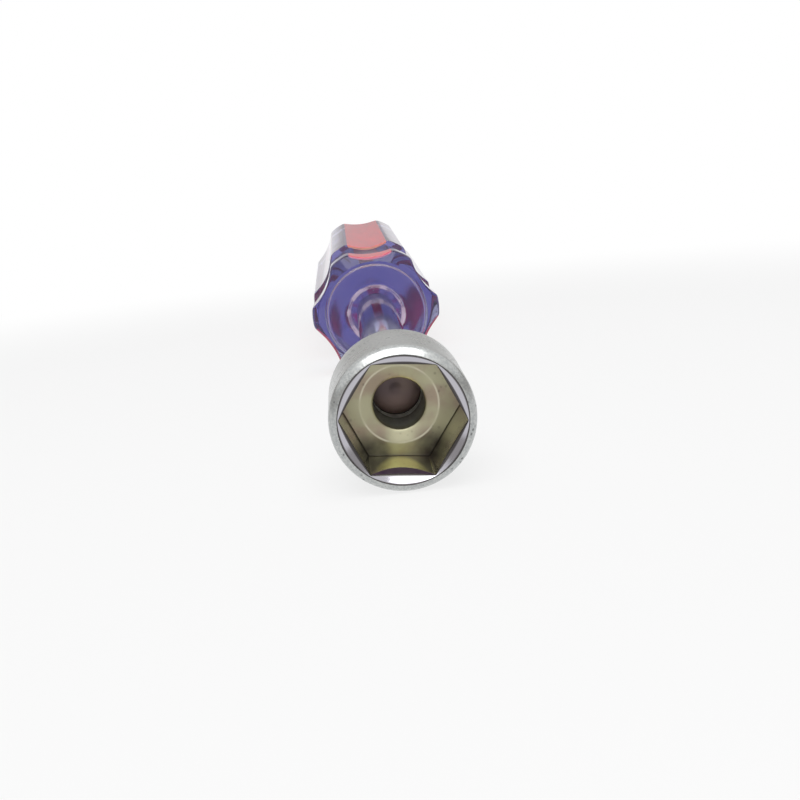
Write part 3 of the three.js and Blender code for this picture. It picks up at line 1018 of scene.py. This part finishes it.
def stations(first, last):
    """The outline's stations between two places, with its radius at both ends."""
    along = [place for place, _ in outline]
    radius = [size for _, size in outline]
    kept = [(place, size) for place, size in outline if first < place < last]
    return [(first, np.interp(first, along, radius)), *kept, (last, np.interp(last, along, radius))]


RED_ACETATE = (0.93, 0.012, 0.018, 1)
DEEP_RED = (0.74, 0.006, 0.012, 1)
THIN_END = (0.52, 0.23, 0.12, 1)
THIN_FRONT = (0.52, 0.13, 0.20, 1)
INNER_FACE = (0.72, 0.05, 0.27, 1)
NECK_END_REACH = 40.0
GLOW_SHARE = 0.3


def red_finish():
    """Red acetate, streaked along the bar and a little translucent."""
    finish, tree, shader = new_finish("red_acetate")
    point, place = object_place(tree)
    stretched = fed(tree, "ShaderNodeMapping", Vector=point, Scale=(1.0, 0.12, 1.0))
    streak = noise(tree, stretched, 500.0, 3.0)
    # Where turning cut the strips off slantwise they are thin: the dye looks orange at the neck's curve
    # and pink at the guard's front
    thinned = ramped(tree, painted(tree, "thick"), 1.0, 0.6)
    by_neck = product(
        tree,
        maths(tree, "LESS_THAN", place["Y"], (HANDLE_FRONT + NECK_END_REACH) * MM),
        maths(tree, "GREATER_THAN", place["Y"], (HANDLE_FRONT + NECK_BACK) * MM),
    )
    in_front = maths(tree, "LESS_THAN", place["Y"], (HANDLE_FRONT + GUARD_FRONT) * MM)
    # From inside the bar the red is seen through the clear acetate's own lavender
    colour = layered(tree, RED_ACETATE, (
        (ramped(tree, streak, 0.3, 0.75), DEEP_RED),
        (product(tree, thinned, by_neck), THIN_END),
        (product(tree, thinned, in_front), THIN_FRONT),
        (painted(tree, "inner_face"), INNER_FACE),
    ))
    tree.links.new(colour, shader.inputs["Base Color"])
    shader.inputs["Roughness"].default_value = 0.6
    shader.inputs["Specular IOR Level"].default_value = 0.0
    glow = fed(tree, "ShaderNodeBsdfTranslucent", Color=colour)
    into_output(tree, mixed_shader(tree, GLOW_SHARE, shader.outputs[0], glow))
    return finish


red_strips = strip_tree(red_finish())
for place, (first, last) in STRIP_REACH.items():
    strips = made_by(
        red_strips, outline_strip(f"{place}_stations", stations(first, last)), f"{place}_red_strips",
        STRIP_SIZES, STRIP_SMOOTHING,
    )
    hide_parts(*(f"{place}_stripe_{side}" for side in ("top", "left", "right")))
    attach(strips, "root")


# Studio: a pale floor that the socket's rim and the guard's lower ribs rest on, white surroundings,
# and one large soft lamp overhead. All of it is in metres; a contact is (place along Y, height).
RIM_CONTACT = (-0.205, -0.0094)
GUARD_CONTACT = (-0.102, -0.01216)
FLOOR_REACH = 3.0
FLOOR_GREY = (0.7, 0.7, 0.7, 1)
WHITE = (1, 1, 1, 1)
SHADOW_MIDDLE_Y = -0.13
SHADOW_NEAR = 0.12
SHADOW_FAR = 0.30
SHADOW_WHITENESS = 0.78
WORLD_LIGHT = 0.27


def floor_height(along):
    """Height of the plane through both contacts."""
    slope = (GUARD_CONTACT[1] - RIM_CONTACT[1]) / (GUARD_CONTACT[0] - RIM_CONTACT[0])
    return RIM_CONTACT[1] + slope * (along - RIM_CONTACT[0])


def white_share(tree):
    """1 for rays from the camera, from a mirror or through glass, and 0 for the light on the object."""
    path = tree.nodes.new("ShaderNodeLightPath").outputs
    seen = maths(tree, "MAXIMUM", path["Is Camera Ray"], path["Is Glossy Ray"])
    return maths(tree, "MAXIMUM", seen, path["Is Transmission Ray"])


def floor_finish():
    """A matt pale floor that shows as white, less so close to the object, where its shadow lies."""
    finish, tree, shader = new_finish("pale_floor")
    shader.inputs["Base Color"].default_value = FLOOR_GREY
    shader.inputs["Roughness"].default_value = 0.9
    shader.inputs["Specular IOR Level"].default_value = 0.0
    point = fed(tree, "ShaderNodeTexCoord", outlet="Object")
    beside = fed(tree, "ShaderNodeMapping", Vector=point, Location=(0.0, -SHADOW_MIDDLE_Y, 0.0))
    reach = fed(
        tree, "ShaderNodeVectorMath", outlet="Value", settings={"operation": "LENGTH"}, Vector=beside,
    )
    near_white = ramped(tree, reach, SHADOW_NEAR, SHADOW_FAR, SHADOW_WHITENESS, 1.0)
    mirrored = fed(tree, "ShaderNodeLightPath", outlet="Is Glossy Ray")
    shown_white = maths(tree, "MAXIMUM", product(tree, white_share(tree), near_white), mirrored)
    white = fed(tree, "ShaderNodeEmission", Color=WHITE, Strength=1.0)
    into_output(tree, mixed_shader(tree, shown_white, shader.outputs[0], white))
    return finish


sides = ((-1, -1), (1, -1), (1, 1), (-1, 1))
corners = [(x * FLOOR_REACH, y * FLOOR_REACH, floor_height(y * FLOOR_REACH)) for x, y in sides]
floor = added("floor", new_mesh("floor", corners, [], [(0, 1, 2, 3)]))
floor.data.materials.append(floor_finish())

scene.world = bpy.data.worlds.new("studio")
scene.world.use_nodes = True
sky = scene.world.node_tree
light = sky.nodes["Background"]
light.inputs["Color"].default_value = WHITE
light.inputs["Strength"].default_value = WORLD_LIGHT
backdrop = fed(sky, "ShaderNodeBackground", Color=WHITE, Strength=1.0)
into_output(sky, mixed_shader(sky, white_share(sky), light.outputs[0], backdrop))

soft_box = bpy.data.lights.new("soft_box", "AREA")
soft_box.shape = "RECTANGLE"
soft_box.size = 0.8
soft_box.size_y = 1.56
soft_box.energy = 10.4
lamp = added("soft_box", soft_box)
lamp.location = (-0.03, -0.80, 0.7)


# Far wall: a low grey wall round the table, which only mirrors see. The chrome and the polished acetate
# show it as the far side of a room, below the bright ceiling.
WALL_REACH = 0.9
WALL_MIDDLE_Y = -0.1
WALL_FOOT = -0.05
WALL_TOP = 0.30
WALL_SIDES = 48
WALL_GREY = (0.50, 0.485, 0.47, 1)
WALL_GREY_ABOVE = 0.065
FOOT_GREY = (0.88, 0.875, 0.87, 1)
FOOT_GREY_BELOW = 0.015


def wall_mesh():
    """An upright band of flat sides round the table."""
    turns = [2 * math.pi * side / WALL_SIDES for side in range(WALL_SIDES)]
    points = []
    for height in (WALL_FOOT, WALL_TOP):
        for turn in turns:
            across = WALL_REACH * math.cos(turn)
            points.append((across, WALL_REACH * math.sin(turn) + WALL_MIDDLE_Y, height))
    quads = []
    for side in range(WALL_SIDES):
        beside = (side + 1) % WALL_SIDES
        quads.append((side, beside, WALL_SIDES + beside, WALL_SIDES + side))
    return new_mesh("far_wall", points, [], quads)


def wall_finish():
    """Grey that turns paler towards its foot, the same from every side."""
    finish, tree, _ = new_finish("far_wall")
    _, place = object_place(tree)
    paler = ramped(tree, place["Z"], WALL_GREY_ABOVE, FOOT_GREY_BELOW)
    grey = blended(tree, paler, WALL_GREY, FOOT_GREY)
    into_output(tree, fed(tree, "ShaderNodeEmission", Color=grey, Strength=1.0))
    return finish


wall = added("far_wall", wall_mesh())
wall.data.materials.append(wall_finish())
for kind in ("camera", "diffuse", "transmission", "shadow"):
    setattr(wall, f"visible_{kind}", False)
